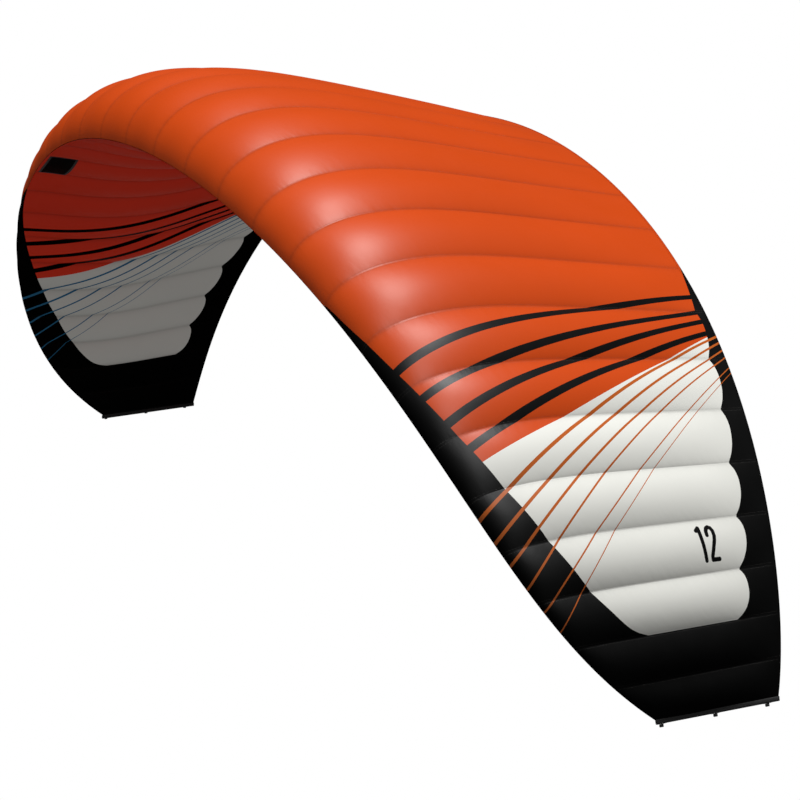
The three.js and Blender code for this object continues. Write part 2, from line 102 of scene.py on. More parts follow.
ARC_LEAN = lean((ARC_U[1:] + ARC_U[:-1]) / 2)
ARC_ACROSS = np.concatenate([[0], np.cumsum(np.cos(ARC_LEAN))]) * HALF_SPAN / ARC_STEPS
ARC_UP = -np.concatenate([[0], np.cumsum(np.sin(ARC_LEAN))]) * HALF_SPAN / ARC_STEPS


def power_sum(u, weights):
    return sum(w * u**p for w, p in zip(weights, POWERS))


def chord(u):
    return HALF_SPAN * (CHORD[0] + power_sum(u, CHORD[1:]))


def station(j):
    t = np.abs(j) / CELLS
    return np.sign(j) * t * (1 + CELL_SPREAD * (1 - t**CELL_POWER))


def bernstein(weights, f):
    n = len(weights) - 1
    return sum(w * math.comb(n, i) * f**i * (1 - f) ** (n - i) for i, w in enumerate(weights))


def section(u, f, upper):
    """Height of one side of the section above its chord line, for u and f as arrays."""
    thin = (1 + (TIP_THICKNESS - 1) * u**THICKNESS_POWER) * (1 - TIP_CLOSE * u**TIP_CLOSE_POWER)
    form = thin * np.sqrt(f) * (1 - f) * chord(u)
    top, bottom = form * bernstein(UPPER_SHAPE, f), -form * bernstein(LOWER_SHAPE, f)
    half = np.maximum((top - bottom) / 2, EDGE_HALF)
    return (top + bottom) / 2 + (half if upper else -half)


def place(u, back, rise):
    """From a section's own plane, back from the nose and up from the chord line, to the row frame."""
    a = np.minimum(np.abs(u), 1)
    beyond = (np.maximum(np.abs(u), 1) - 1) * HALF_SPAN
    twist = np.radians(TWIST_CENTRE + TWIST_WASH * a * a)
    quarter = chord(a) / 4
    x = quarter + (back - quarter) * np.cos(twist) + rise * np.sin(twist)
    z = -(back - quarter) * np.sin(twist) + rise * np.cos(twist)
    across = np.interp(a, ARC_U, ARC_ACROSS) + beyond * np.cos(lean(a)) + z * np.sin(lean(a))
    up = np.interp(a, ARC_U, ARC_UP) - beyond * np.sin(lean(a)) + z * np.cos(lean(a))
    side = np.where(np.asarray(u) < 0, -1.0, 1.0)
    points = np.stack(np.broadcast_arrays(-HALF_SPAN * power_sum(a, SETBACK) - x, side * across, up), -1)
    return points - np.array(ORIGIN)


def surface(u, f, upper, out=0.0):
    """Points of the wing's outer surface, moved outwards by out."""
    a = np.minimum(np.abs(u), 1)
    step = 1e-4
    low, high = np.maximum(f - step, 0), np.minimum(f + step, 1)
    rise = section(a, high, upper) - section(a, low, upper)
    run = (high - low) * chord(a)
    length = np.hypot(rise, run) * (1 if upper else -1)
    back = f * chord(a) - rise / length * out
    height = section(a, f, upper) + run / length * out
    return place(u, back, height)


def camber(u, f):
    """The middle between the two sides, at one place."""
    return Vector(((surface(u, f, True) + surface(u, f, False)) / 2).tolist())


# ---- meshes ----


def new_object(name, vertices, faces, material, uvs=None, solid=False):
    """A smooth mesh object; solid turns its faces outwards."""
    mesh = bpy.data.meshes.new(name)
    mesh.from_pydata([tuple(v) for v in np.asarray(vertices, float)], [], faces)
    if solid:
        made = bmesh.new()
        made.from_mesh(mesh)
        bmesh.ops.recalc_face_normals(made, faces=made.faces)
        made.to_mesh(mesh)
        made.free()
    mesh.polygons.foreach_set("use_smooth", [True] * len(mesh.polygons))
    loops = np.zeros(len(mesh.loops), int)
    mesh.loops.foreach_get("vertex_index", loops)
    for layer, values in (uvs or {}).items():
        uv = mesh.uv_layers.new(name=layer)
        uv.data.foreach_set("uv", np.asarray(values, float)[loops].ravel())
    mesh.materials.append(material)
    obj = bpy.data.objects.new(name, mesh)
    bpy.context.scene.collection.objects.link(obj)
    return obj


def grid_faces(rows, columns, flip=False, keep=None, wrap=False, close=False):
    """Quads of a grid of points; wrap joins the last column to the first, and close the last row."""
    faces = []
    for i in range(rows if close else rows - 1):
        for k in range(columns if wrap else columns - 1):
            if keep is not None and not keep(i, k):
                continue
            m, n = (i + 1) % rows, (k + 1) % columns
            quad = [i * columns + k, m * columns + k, m * columns + n, i * columns + n]
            faces.append(quad[::-1] if flip else quad)
    return faces


def grid_object(name, points, material, uvs=None, flip=False, keep=None, wrap=False, caps=False):
    """A mesh from rows of points; caps puts a face on the first and the last row."""
    rows, columns = points.shape[:2]
    faces = grid_faces(rows, columns, flip, keep, wrap)
    if caps:
        faces += [list(range(columns)), [(rows - 1) * columns + k for k in range(columns)][::-1]]
    flat = {layer: values.reshape(-1, 2) for layer, values in (uvs or {}).items()}
    return new_object(name, points.reshape(-1, 3), faces, material, flat, solid=wrap)


def solidify(obj, thickness):
    """Give a sheet a thickness inwards from its outer face."""
    modifier = obj.modifiers.new("thickness", "SOLIDIFY")
    modifier.thickness, modifier.offset = thickness, -1


def running_length(points):
    """Distance along each row of points, from its first one."""
    steps = np.linalg.norm(np.diff(points, axis=-2), axis=-1)
    return np.concatenate([np.zeros((*steps.shape[:-1], 1)), np.cumsum(steps, axis=-1)], axis=-1)


# ---- materials ----


class Material:
    """A node material around one Principled shader, with short calls for the nodes it needs."""

    def __init__(self, name, **sockets):
        self.made = bpy.data.materials.new(name)
        self.made.use_nodes = True
        self.tree = self.made.node_tree
        self.shader = self.tree.nodes["Principled BSDF"]
        self.finish(**sockets)

    def set(self, socket, value):
        if isinstance(value, bpy.types.NodeSocket):
            self.tree.links.new(value, socket)
        else:
            socket.default_value = value

    def node(self, kind, *inputs, out=0, **settings):
        made = self.tree.nodes.new("ShaderNode" + kind)
        for key, value in settings.items():
            setattr(made, key, value)
        for socket, value in zip(made.inputs, inputs):
            if value is not None:
                self.set(socket, value)
        return made.outputs[out]

    def math(self, operation, *inputs):
        return self.node("Math", *inputs, operation=operation)

    def total(self, *values):
        made = values[0]
        for value in values[1:]:
            made = self.math("ADD", made, value)
        return made

    def band(self, x, centre, half):
        """1 where x is within half of centre."""
        return self.math("LESS_THAN", self.math("ABSOLUTE", self.math("SUBTRACT", x, centre)), half)

    def repeat(self, x, rate, share):
        """1 on the first share of each repeat, with rate repeats in a metre."""
        return self.math("LESS_THAN", self.math("FRACT", self.math("MULTIPLY", x, rate)), share)

    def fade(self, distance, rate):
        """1 at no distance, and less by a factor e with each 1 / rate metres."""
        return self.math("EXPONENT", self.math("MULTIPLY", distance, -rate))

    def scaled(self, vector, factor):
        made = self.node("VectorMath", vector, None, operation="SCALE")
        self.set(made.node.inputs["Scale"], factor)
        return made

    def uv(self, layer):
        split = self.tree.nodes.new("ShaderNodeSeparateXYZ")
        self.set(split.inputs[0], self.node("UVMap", uv_map=layer))
        return split.outputs[0], split.outputs[1]

    def place(self):
        return self.node("TexCoord", out=3)

    def vector(self, *values):
        return self.node("CombineXYZ", *values)

    def noise(self, scale, detail, vector=None):
        made = self.tree.nodes.new("ShaderNodeTexNoise")
        self.set(made.inputs["Vector"], vector or self.place())
        self.set(made.inputs["Scale"], scale)
        self.set(made.inputs["Detail"], detail)
        return made.outputs["Fac"]

    def curve(self, x, points):
        """A curve through points (x, y); a third value makes a sharp corner there."""
        made = self.tree.nodes.new("ShaderNodeFloatCurve")
        self.set(made.inputs["Value"], x)
        knots = made.mapping.curves[0].points
        for knot, point in zip(knots, (points[0], points[-1])):
            knot.location = point[:2]
        for point in points[1:-1]:
            knots.new(*point[:2])
        for knot, point in zip(knots, points):
            knot.handle_type = "VECTOR" if len(point) > 2 else "AUTO"
        made.mapping.update()
        return made.outputs[0]

    def mix(self, share, a, b):
        made = self.tree.nodes.new("ShaderNodeMix")
        made.data_type = "RGBA"
        for socket, value in ((0, share), (6, a), (7, b)):
            self.set(made.inputs[socket], value)
        return made.outputs[2]

    def bump(self, height, distance, strength=1.0, normal=None):
        made = self.tree.nodes.new("ShaderNodeBump")
        for socket, value in (("Height", height), ("Distance", distance), ("Strength", strength)):
            self.set(made.inputs[socket], value)
        if normal is not None:
            self.set(made.inputs["Normal"], normal)
        return made.outputs["Normal"]

    def finish(self, **sockets):
        for socket, value in sockets.items():
            self.set(self.shader.inputs[socket.replace("_", " ")], value)
        return self.made


def srgb(red, green, blue):
    """A linear colour from 0-255 display values."""
    shares = [value / 255 for value in (red, green, blue)]
    linear = [s / 12.92 if s <= 0.0404 else ((s + 0.055) / 1.055) ** 2.4 for s in shares]
    return (*linear, 1.0)


def lighter(colour, gain, lift):
    return (*(min(1.0, c * gain + lift) for c in colour[:3]), 1.0)


ORANGE, WHITE, BLACK = srgb(210, 72, 2), srgb(240, 240, 233), srgb(4, 4, 4)
# painted shade: the lower skin is the same orange cloth; this redder copy stands in for the dim, reddened
# light inside the canopy
SHADED_ORANGE = srgb(255, 50, 0)
LINE_UPPER, LINE_LOWER = srgb(196, 96, 26), srgb(32, 118, 164)

# Edges and stripes of the colour layout, as (u, f) points where a third value of 1 is a sharp corner.
# A stripe runs from its first u at the nose to its second at the trailing edge; a thin line has its
# bow and its width at the nose as well.
LAYOUT_START = 0.45
TIP_PANEL = 0.9155
NOSE_BAND = [
    (0.45, 0, 1), (0.48, 0), (0.56, 0.0078), (0.64, 0.031), (0.72, 0.070), (0.80, 0.124),
    (0.866, 0.181), (0.89, 0.215), (0.903, 0.243), (0.910, 0.272), (0.916, 0.33, 1), (1, 0.33, 1),
]
SCALLOPS = [
    (0.48, 1.0), (0.556, 0.969), (0.625, 0.942), (0.691, 0.919), (0.754, 0.889), (0.812, 0.865),
    (0.866, 0.831),
]
SCALLOP_DEPTH, SCALLOP_POWER = (0.0, 0.0135, 0.0185, 0.020, 0.027, 0.033), 0.8
PANEL_CORNER = [
    (0.874, 0.848), (0.884, 0.853), (0.894, 0.849), (0.903, 0.835), (0.910, 0.812), (0.916, 0.776, 1),
]
WHITE_EDGE = (0.731, -0.085, -0.057)
BLACK_STRIPES = [(0.605, 0.532), (0.645, 0.555), (0.682, 0.569), (0.716, 0.586)]
BLACK_STRIPE_WIDTH = (0.0094, 0.0066)
THIN_LINES = [
    (0.773, 0.594, 0, 0.0042), (0.799, 0.603, 0, 0.0036), (0.824, 0.614, 0, 0.0030),
    (0.850, 0.624, 0, 0.0024), (0.875, 0.638, 0.010, 0.0018), (0.897, 0.645, 0.010, 0.0012),
]
THIN_LINE_TAPER = 0.75

# the size numerals: u and f of their lower left corner, the chord there, and their strokes in metres
NUMERAL_PLACE, NUMERAL_CHORD, NUMERAL_STROKE = (0.8560, 0.680), 1.144, 0.0086
NUMERAL_LINES = (
    ((0.000, 0.128), (0.013, 0.139), (0.013, 0.008)),
    ((0.044, 0.106), (0.045, 0.122), (0.051, 0.134), (0.061, 0.139), (0.071, 0.134), (0.077, 0.120),
     (0.077, 0.101), (0.072, 0.083), (0.046, 0.022), (0.046, 0.008), (0.079, 0.008)),
)


def scallop_points():
    """The inner edge of the black trailing band: one arc for each cell, with a cusp on each rib."""
    points = [(LAYOUT_START, 1, 1)]
    for (u0, f0), (u1, f1), depth in zip(SCALLOPS, SCALLOPS[1:], SCALLOP_DEPTH):
        points.append((u0, f0, 1))
        for t in (0.2, 0.5, 0.8):
            arc = depth * (4 * t * (1 - t)) ** SCALLOP_POWER
            points.append((u0 + (u1 - u0) * t, f0 + (f1 - f0) * t + arc))
    points.append((*SCALLOPS[-1], 1))
    return points + PANEL_CORNER + [(1, *PANEL_CORNER[-1][1:])]


def stretched(points):
    """The curve's x runs from LAYOUT_START to 1."""
    return [((p[0] - LAYOUT_START) / (1 - LAYOUT_START), *p[1:]) for p in points]


def stripe(m, u, f, nose, edge, bow, width_nose, width_edge):
    """1 on a stripe that runs from u = nose at the nose to u = edge at the trailing edge."""
    along = m.math("MULTIPLY_ADD", f, edge - nose, nose)
    if bow:
        arc = m.math("MULTIPLY", f, m.math("SUBTRACT", 1.0, f))
        along = m.math("MULTIPLY_ADD", arc, 4 * bow, along)
    half = m.math("MULTIPLY_ADD", f, (width_edge - width_nose) / 2, width_nose / 2)
    return m.band(u, along, half)


def size_numeral(m, u, f):
    """1 on the plain numerals of the kite's size: strokes on a flat patch of cloth, in metres."""
    across = m.math("MULTIPLY_ADD", f, NUMERAL_CHORD, -NUMERAL_PLACE[1] * NUMERAL_CHORD)
    up = m.math("MULTIPLY_ADD", u, -HALF_SPAN, NUMERAL_PLACE[0] * HALF_SPAN)
    spot = m.vector(across, up, 0.0)
    nearest = None
    for line in NUMERAL_LINES:
        for start, end in zip(line, line[1:]):
            stroke = Vector((*end, 0)) - Vector((*start, 0))
            from_start = m.node("VectorMath", spot, (*start, 0), operation="SUBTRACT")
            axis = tuple(stroke / stroke.length_squared)
            share = m.node("VectorMath", from_start, axis, operation="DOT_PRODUCT", out=1)
            share = m.node("Clamp", share, 0.0, 1.0)
            foot = m.scaled(tuple(stroke), share)
            gap = m.node("VectorMath", from_start, foot, operation="DISTANCE", out=1)
            nearest = gap if nearest is None else m.math("MINIMUM", nearest, gap)
    return m.math("LESS_THAN", nearest, NUMERAL_STROKE)


def layout_colour(m, u, f, base, line_colour, numeral):
    """The cloth's colour in the kite's layout, and 1 where it is black."""
    slope = m.math("MULTIPLY_ADD", f, WHITE_EDGE[2], WHITE_EDGE[1])
    white_from = m.math("MULTIPLY_ADD", slope, f, WHITE_EDGE[0])
    colour = m.mix(m.math("GREATER_THAN", u, white_from), base, WHITE)

    scale = 1 / (1 - LAYOUT_START)
    stretch = m.math("MAXIMUM", m.math("MULTIPLY_ADD", u, scale, -LAYOUT_START * scale), 0.0)
    marks = [stripe(m, u, f, nose, edge, 0, *BLACK_STRIPE_WIDTH) for nose, edge in BLACK_STRIPES]
    marks.append(m.math("LESS_THAN", f, m.curve(stretch, stretched(NOSE_BAND))))
    marks.append(m.math("GREATER_THAN", f, m.curve(stretch, stretched(scallop_points()))))
    if numeral:
        marks.append(size_numeral(m, u, f))
    dark = m.math("GREATER_THAN", u, TIP_PANEL)
    for mark in marks:
        dark = m.math("MAXIMUM", dark, mark)
    colour = m.mix(dark, colour, BLACK)

    for nose, edge, bow, width in THIN_LINES:
        line = stripe(m, u, f, nose, edge, bow, width, width * THIN_LINE_TAPER)
        colour = m.mix(line, colour, line_colour)
    return colour, dark


# the canopy's cloth: rates are per metre, but for PUCKER_GRAIN's last, which is per half span
CLOTH_SHINE, CLOTH_ROUGHNESS, ROUGHNESS_SPREAD, DARK_ROUGHNESS = 0.36, 0.42, 0.06, 0.01
TINT_LOW, TINT_SPREAD = 0.94, 0.12
# painted shade: how fast, and by how much at most, the colour darkens towards each seam
FOLD_FADE, FOLD_PAINTED_SHADE = 70.0, 0.22
STITCH_LINE, STITCH_HALF, STITCH_RATE, STITCH_LENGTH = 0.006, 0.0005, 250.0, 0.6
THREAD_SHARE, THREAD_COLOUR = 0.22, (0.10, 0.09, 0.08, 1.0)
RIPSTOP_RATE, RIPSTOP_WIDTH = 170.0, 0.12
PUCKER_FADE, PUCKER_GRAIN = 22.0, (5.0, 26.0, 40.0)
PUCKER_HEIGHT, RIPPLE_HEIGHT, THREAD_HEIGHT = 1.1, 0.5, 0.25


def canopy_material(name, base, line_colour, numeral=False):
    """Coated ripstop in the kite's colour layout, with seams, stitches, small creases and painted shade
    along each seam.
    """
    m = Material(name, Specular_IOR_Level=CLOTH_SHINE)
    u, f = m.uv("Wing")
    seam, run = m.uv("Cloth")
    colour, dark = layout_colour(m, u, f, base, line_colour, numeral)
    colour = m.scaled(colour, m.math("MULTIPLY_ADD", m.noise(1.7, 4.0), TINT_SPREAD, TINT_LOW))
    # painted shade: the colour darkens towards each seam, as shade in the fold there
    colour = m.mix(m.math("MULTIPLY", m.fade(seam, FOLD_FADE), FOLD_PAINTED_SHADE), colour, (0.0, 0.0, 0.0, 1.0))
    dash = m.repeat(run, STITCH_RATE, STITCH_LENGTH)
    thread = m.math("MULTIPLY", dash, m.band(seam, STITCH_LINE, STITCH_HALF))
    colour = m.mix(m.math("MULTIPLY", thread, THREAD_SHARE), colour, THREAD_COLOUR)

    spot = m.vector(*(m.math("MULTIPLY", x, rate) for x, rate in zip((seam, run, u), PUCKER_GRAIN)))
    pucker = m.math("MULTIPLY", m.fade(seam, PUCKER_FADE), m.noise(1.0, 2.0, spot))
    height = m.total(
        m.math("MULTIPLY", pucker, PUCKER_HEIGHT),
        m.math("MULTIPLY", m.noise(5.0, 2.0), RIPPLE_HEIGHT),
        m.math("MULTIPLY", thread, THREAD_HEIGHT),
    )
    ripstop = m.math("MAXIMUM", *(m.repeat(x, RIPSTOP_RATE, RIPSTOP_WIDTH) for x in (seam, run)))
    normal = m.bump(ripstop, 0.0002, 0.12, m.bump(height, 0.004, 0.45))
    rough = m.math("MULTIPLY_ADD", m.noise(9.0, 3.0), ROUGHNESS_SPREAD, CLOTH_ROUGHNESS)
    rough = m.math("MULTIPLY_ADD", dark, DARK_ROUGHNESS, rough)
    return m.finish(Base_Color=colour, Roughness=rough, Normal=normal)


def woven_material(name, colour, pitch):
    """A plain weave: two sets of threads that pass over and under each other."""
    m = Material(name, Sheen_Weight=0.25, Sheen_Roughness=0.5)
    spot = m.scaled(m.place(), 1 / pitch)
    warp = m.node("TexWave", spot, 1.0, 0.6, 1.0, bands_direction="X", out=1)
    weft = m.node("TexWave", spot, 1.0, 0.6, 1.0, bands_direction="DIAGONAL", out=1)
    weave = m.math("MAXIMUM", warp, weft)
    worn = m.noise(35.0, 4.0)
    light = lighter(colour, 1.9, 0.02)
    tone = m.mix(m.math("MULTIPLY", weave, m.math("MULTIPLY_ADD", worn, 0.6, 0.1)), colour, light)
    rough = m.math("MULTIPLY_ADD", worn, 0.2, 0.6)
    return m.finish(Base_Color=tone, Roughness=rough, Normal=m.bump(weave, pitch * 0.1, 0.6))


TAPE_STITCH_RATE = 330.0


def strap_material(name, colour, pitch, edge):
    """Woven tape with stitches along its edge; its map gives metres from the edge and along it."""
    m = Material(name, Sheen_Weight=0.2, Sheen_Roughness=0.5)
    across, run = m.uv("Cloth")
    lift = m.math("SINE", m.math("MULTIPLY", across, math.pi / pitch))
    rise = m.math("SINE", m.math("MULTIPLY", run, 2 * math.pi / pitch))
    weave = m.math("ABSOLUTE", m.math("MULTIPLY", lift, m.math("ADD", rise, 0.4)))
    thread = m.math("MULTIPLY", m.repeat(run, TAPE_STITCH_RATE, 0.66), m.band(across, edge, 0.0003))
    worn = m.noise(45.0, 4.0)
    light = lighter(colour, 2.2, 0.012)
    tone = m.mix(m.math("MULTIPLY", weave, m.math("MULTIPLY_ADD", worn, 0.6, 0.2)), colour, light)
    tone = m.mix(m.math("MULTIPLY", thread, 0.8), tone, (0.06, 0.06, 0.06, 1.0))
    height = m.total(weave, m.math("MULTIPLY", thread, 1.5))
    rough = m.math("MULTIPLY_ADD", worn, 0.2, 0.7)
    return m.finish(Base_Color=tone, Roughness=rough, Normal=m.bump(height, pitch * 0.2, 0.6))


def moulded_material(name, colour, roughness):
    """Moulded or drawn material with fine grain and lighter, worn high spots."""
    m = Material(name)
    grain, wear = m.noise(900.0, 2.0), m.noise(60.0, 5.0)
    tone = m.mix(m.math("MULTIPLY", wear, 0.5), colour, lighter(colour, 2.0, 0.006))
    rough = m.math("MULTIPLY_ADD", wear, 0.25, roughness - 0.1)
    return m.finish(Base_Color=tone, Roughness=rough, Normal=m.bump(grain, 0.0001, 0.4))


upper_cloth = canopy_material("canopy_upper_cloth", ORANGE, LINE_UPPER)
marked_cloth = canopy_material("canopy_marked_cloth", ORANGE, LINE_UPPER, numeral=True)
# painted shade: the lower skin's cloth, in the redder shaded copy of the orange
shaded_lower_cloth = canopy_material("canopy_lower_cloth", SHADED_ORANGE, LINE_LOWER)
rib_cloth = woven_material("rib_cloth", srgb(206, 206, 200), 0.004)
flap_cloth = strap_material("flap_cloth", srgb(7, 7, 8), 0.0030, 0.0060)
webbing = strap_material("webbing", srgb(15, 15, 17), 0.0018, 0.0022)
edge_tape = strap_material("edge_tape", srgb(12, 12, 13), 0.0012, 0.0016)
zip_tape_cloth = strap_material("zip_tape_cloth", srgb(19, 19, 21), 0.0010, 0.0025)
net_cord = moulded_material("net_cord", srgb(7, 7, 8), 0.6)
plastic = moulded_material("zip_plastic", srgb(34, 34, 36), 0.45)
fibre = moulded_material("glass_fibre", srgb(58, 58, 56), 0.35)

# ---- the canopy ----

# where the rows of the cloth's mesh lie: across a cell, and along the chord on each side
CELL_MARKS = np.array([0, 0.02, 0.06, 0.13, 0.22, 0.32, 0.41, 0.5, 0.59, 0.68, 0.78, 0.87, 0.94, 0.98])
UPPER_ROWS = np.linspace(0, 1, 61) ** 2
INTAKE_CELL, INTAKE_MARKS = 4, (0.012, 0.085)
STRAIGHT_MARKS = (0.62, 0.86)
LOWER_ROWS = np.concatenate([np.linspace(0, 1, 45) ** 1.4, INTAKE_MARKS, STRAIGHT_MARKS])
LOWER_ROWS = np.unique(np.round(LOWER_ROWS, 5))
SEAM_DIP, SEAM_REACH = 0.0005, 0.05
FULL_AT, FULL_POWER, FULL_TIP = 0.315, 3.5, 0.3
BEND_CHORD = 0.35

# A section of one half: its name, inner and outer rib, the two bodies on either side of it, the ribs where a
# bend between them would start and end, and the CAD skins that it stands for.
SECTIONS = (
    ("inner", 0, 5, ("centre_section", "{}_inner"), (2, 4), ("centre_{}_skin", "{}_inner_{}_skin")),
    ("outer", 5, 10, ("{}_inner", "{}_outer"), (5.5, 8.5), ("{}_inner_{}_skin", "{}_outer_{}_skin")),
    ("tip", 10, 15, ("{}_outer", "{}_tip"), (10.3, 13.7), ("{}_outer_{}_skin", "{}_tip_{}_skin")),
)


def span_marks(a, b):
    """Rib numbers of the canopy's rows from rib a to rib b, close together at the seams."""
    return np.concatenate([cell + CELL_MARKS for cell in range(a, b)] + [[b]])


def fullness(j, f):
    """How far the upper skin stands out along the chord, as a share of a cell's full bulge."""
    aft = np.clip((f - FULL_AT) / (1 - FULL_AT), 0, 1)
    ahead = np.sin(np.pi * np.minimum(f, FULL_AT) ** BULGE_FRONT)
    return ahead * (1 - aft**FULL_POWER) * (1 + FULL_TIP * station(j) ** 2)


def cell_width(cell):
    return HALF_SPAN * (station(cell + 1) - station(cell))


def bulge(j, f, upper=False):
    """How far the cloth stands out from the section between the ribs, with a small dip at each seam."""
    part, cell = np.modf(j)
    arch = np.where(part > 0, 4 * part * (1 - part), 0)
    seam = np.clip(np.minimum(part, 1 - part) / SEAM_REACH, 0, 1)
    along = fullness(j, f) if upper else np.sin(np.pi * f**BULGE_FRONT)
    return BULGE * cell_width(cell) * arch * along - SEAM_DIP * (1 - seam) * np.sqrt(f * (1 - f))


def straight_lift(j, f):
    """Aft on its lower side the cloth runs straight along the chord, where the section would be hollow."""
    low, high = STRAIGHT_MARKS
    u = station(np.abs(j))
    ends = [section(u, mark, False) for mark in STRAIGHT_MARKS]
    share = np.clip((f - low) / (high - low), 0, 1)
    straight = ends[0] + (ends[1] - ends[0]) * share
    return np.where((f > low) & (f < high), section(u, f, False) - straight, 0)


def skin_points(side, j, f, upper):
    out = bulge(j, f, upper)
    if not upper:
        out = out + straight_lift(j, f)
    return surface(side * station(j), f, upper, out)


def cloth_uvs(points, j, f):
    """Wing: u and f. Cloth: distance from the nearest seam, and along the chord, in metres."""
    part, cell = np.modf(j)
    seam = np.minimum(part, 1 - part) * cell_width(cell)
    run = running_length(points)
    flat = np.broadcast_to(f, run.shape)
    return {
        "Wing": np.stack([np.broadcast_to(station(j), run.shape), flat], -1),
        "Cloth": np.stack([np.broadcast_to(seam, run.shape), run], -1),
    }


def bend(obj, hand, side, section_row):
    """Bake a piece's placement into its mesh; where a bend straight across the span would start and end is
    worked out, but the piece is not bent and follows no body.
    """
    bodies, marks = section_row[3:5]
    start, end = (camber(side * station(j), BEND_CHORD) for j in marks)
    end.x = start.x
    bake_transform(obj)


def canopy_skin(hand, side, section_row, upper):
    """One side of one section: a single curved sheet, with a hole where the lower one has an intake."""
    name, a, b, _, _, nodes = section_row
    layer = "upper" if upper else "lower"
    j = span_marks(a, b)[:, None]
    f = (UPPER_ROWS if upper else LOWER_ROWS)[None, :]
    points = skin_points(side, j, f, upper)
    intake = np.array([INTAKE_CELL < r < INTAKE_CELL + 1 for r in (j[1:, 0] + j[:-1, 0]) / 2])
    middle = (f[0, 1:] + f[0, :-1]) / 2
    hole = (middle > INTAKE_MARKS[0]) & (middle < INTAKE_MARKS[1])
    keep = None if upper else lambda i, k: not (intake[i] and hole[k])
    material = shaded_lower_cloth
    if upper:
        material = marked_cloth if name == "tip" and side > 0 else upper_cloth
    obj = grid_object(f"{hand}_{name}_{layer}_canopy", points, material, cloth_uvs(points, j, f),
                      flip=(side < 0) == upper, keep=keep)
    bend(obj, hand, side, section_row)
    for node in nodes:
        made = node.format(layer) if node.startswith("centre") else node.format(hand, layer)
        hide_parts(made)


HEM_WIDTH, HEM_LIFT = 0.012, 0.0007
HEM_BACKS = (1, 0.5, 0)


def trailing_hem(hand, side, section_row):
    """A hem folded over the trailing edges of both skins."""
    name, a, b = section_row[:3]
    j = span_marks(a, b)
    u = station(j)
    share = HEM_WIDTH / chord(u)
    rows, shares = [], []
    for upper, backs in ((True, HEM_BACKS), (False, HEM_BACKS[::-1])):
        for back in backs:
            f = 1 - share * back
            rows.append(surface(side * u, f, upper, HEM_LIFT + bulge(j, f, upper)))
            shares.append(f)
    points = np.stack(rows, axis=1)
    points[:, 2:4, 0] -= HEM_LIFT
    f = np.stack(shares, axis=1)
    run = np.arange(len(shares)) * HEM_WIDTH / 2
    uvs = {
        "Wing": np.stack([np.broadcast_to(u[:, None], f.shape), f], -1),
        "Cloth": np.stack([np.full(f.shape, 0.02), np.broadcast_to(run, f.shape)], -1),
    }
    obj = grid_object(f"{hand}_{name}_trailing_hem", points, upper_cloth, uvs, flip=side < 0)
    bend(obj, hand, side, section_row)


for hand, side in HANDS:
    for row in SECTIONS:
        canopy_skin(hand, side, row, True)
        canopy_skin(hand, side, row, False)
        trailing_hem(hand, side, row)

# ---- the ribs ----

RIB_BODIES = {
    "centre_section": range(1, 4), "{}_inner": range(4, 8),
    "{}_outer": range(8, 13), "{}_tip": range(13, 15),
}
BENT_RIBS = (11, 12, 13)


def rib_sheet(name, node, body, bent):
    """A rib's cloth with its vent holes, in the middle plane of the CAD's rib plate."""
    mesh = frame["nodes"][node].data
    points = np.array([v.co for v in mesh.vertices])
    centre = points.mean(axis=0)
    length_way, height_way, normal = np.linalg.svd(points - centre, full_matrices=False)[2]
    off = (points - centre) @ normal
    flat = points - np.outer(off - (np.min(off) + np.max(off)) / 2, normal)
    faces = [list(p.vertices) for p in mesh.polygons if np.array(p.normal) @ normal > 0.9]
    used = sorted({v for face in faces for v in face})
    number = {v: n for n, v in enumerate(used)}
    obj = new_object(name, flat[used], [[number[v] for v in face] for face in faces], rib_cloth)
    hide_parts(node)
    if bent:
        bend(obj, *bent)
    else:
        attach(obj, body)


rib_sheet("centre_rib_cloth", "centre_rib", "centre_section", None)
for hand, side in HANDS:
    for body, numbers in RIB_BODIES.items():
        for number in numbers:
            bent = (hand, side, SECTIONS[2]) if number in BENT_RIBS else None
            rib_sheet(f"{hand}_rib_cloth_{number}", f"{hand}_rib_{number}", body.format(hand), bent)

# ---- straps and small solids, drawn in a joint's own axes ----

JOINTS = {joint["name"]: joint for joint in frame["record"]["behaviour"]["joints"]}
MOUNTS = {mount["name"]: mount for mount in frame["record"]["mounts"]}
X_AXIS, Y_AXIS = np.array([1.0, 0, 0]), np.array([0, 1.0, 0])


def axes_from(x, z):
    """Unit rows x, y and z, with x kept as it is."""
    x, z = np.array(x, float), np.array(z, float)
    x /= np.linalg.norm(x)
    y = np.cross(z, x)
    y /= np.linalg.norm(y)
    return np.stack([x, y, np.cross(x, y)])


def swept(name, path, side, outlines, spot, material, body, edge=None):
    """A solid: outlines, as (along side, outwards) points, carried along a path in the axes of spot.

    edge gives each outline point's distance from the strap's edge where the outline isn't a flat one.
    """
    origin, axes = spot
    path = np.asarray(path, float)
    outlines = np.broadcast_to(np.asarray(outlines, float), (len(path), *np.shape(outlines)[-2:]))
    tangents = np.gradient(path, axis=0)
    tangents /= np.linalg.norm(tangents, axis=1)[:, None]
    outwards = np.cross(tangents, side)
    points = path[:, None] + outlines[..., :1] * side + outlines[..., 1:] * outwards[:, None]
    run = running_length(path)
    if edge is None:
        sideways = np.abs(outlines[..., 0])
        edge = sideways.max(axis=1, keepdims=True) - sideways
    across = np.broadcast_to(edge, outlines.shape[:2])
    cloth = np.stack([across, np.broadcast_to(run[:, None], across.shape)], -1)
    obj = grid_object(name, points @ axes + origin, material, {"Cloth": cloth}, wrap=True, caps=True)
    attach(obj, body)
    return obj


def strap_outline(width, thickness, corner=0.0003):
    """A flat strap's section, with rounded corners and points across its faces."""
    half, depth = width / 2, thickness / 2
    top = [(half * share, depth) for share in (0.6, 0.2, -0.2, -0.6)]
    face = [(half - corner, depth), *top, (corner - half, depth), (-half, depth - corner)]
    return face + [(-half, corner - depth)] + [(-x, -y) for x, y in face] + [(half, depth - corner)]


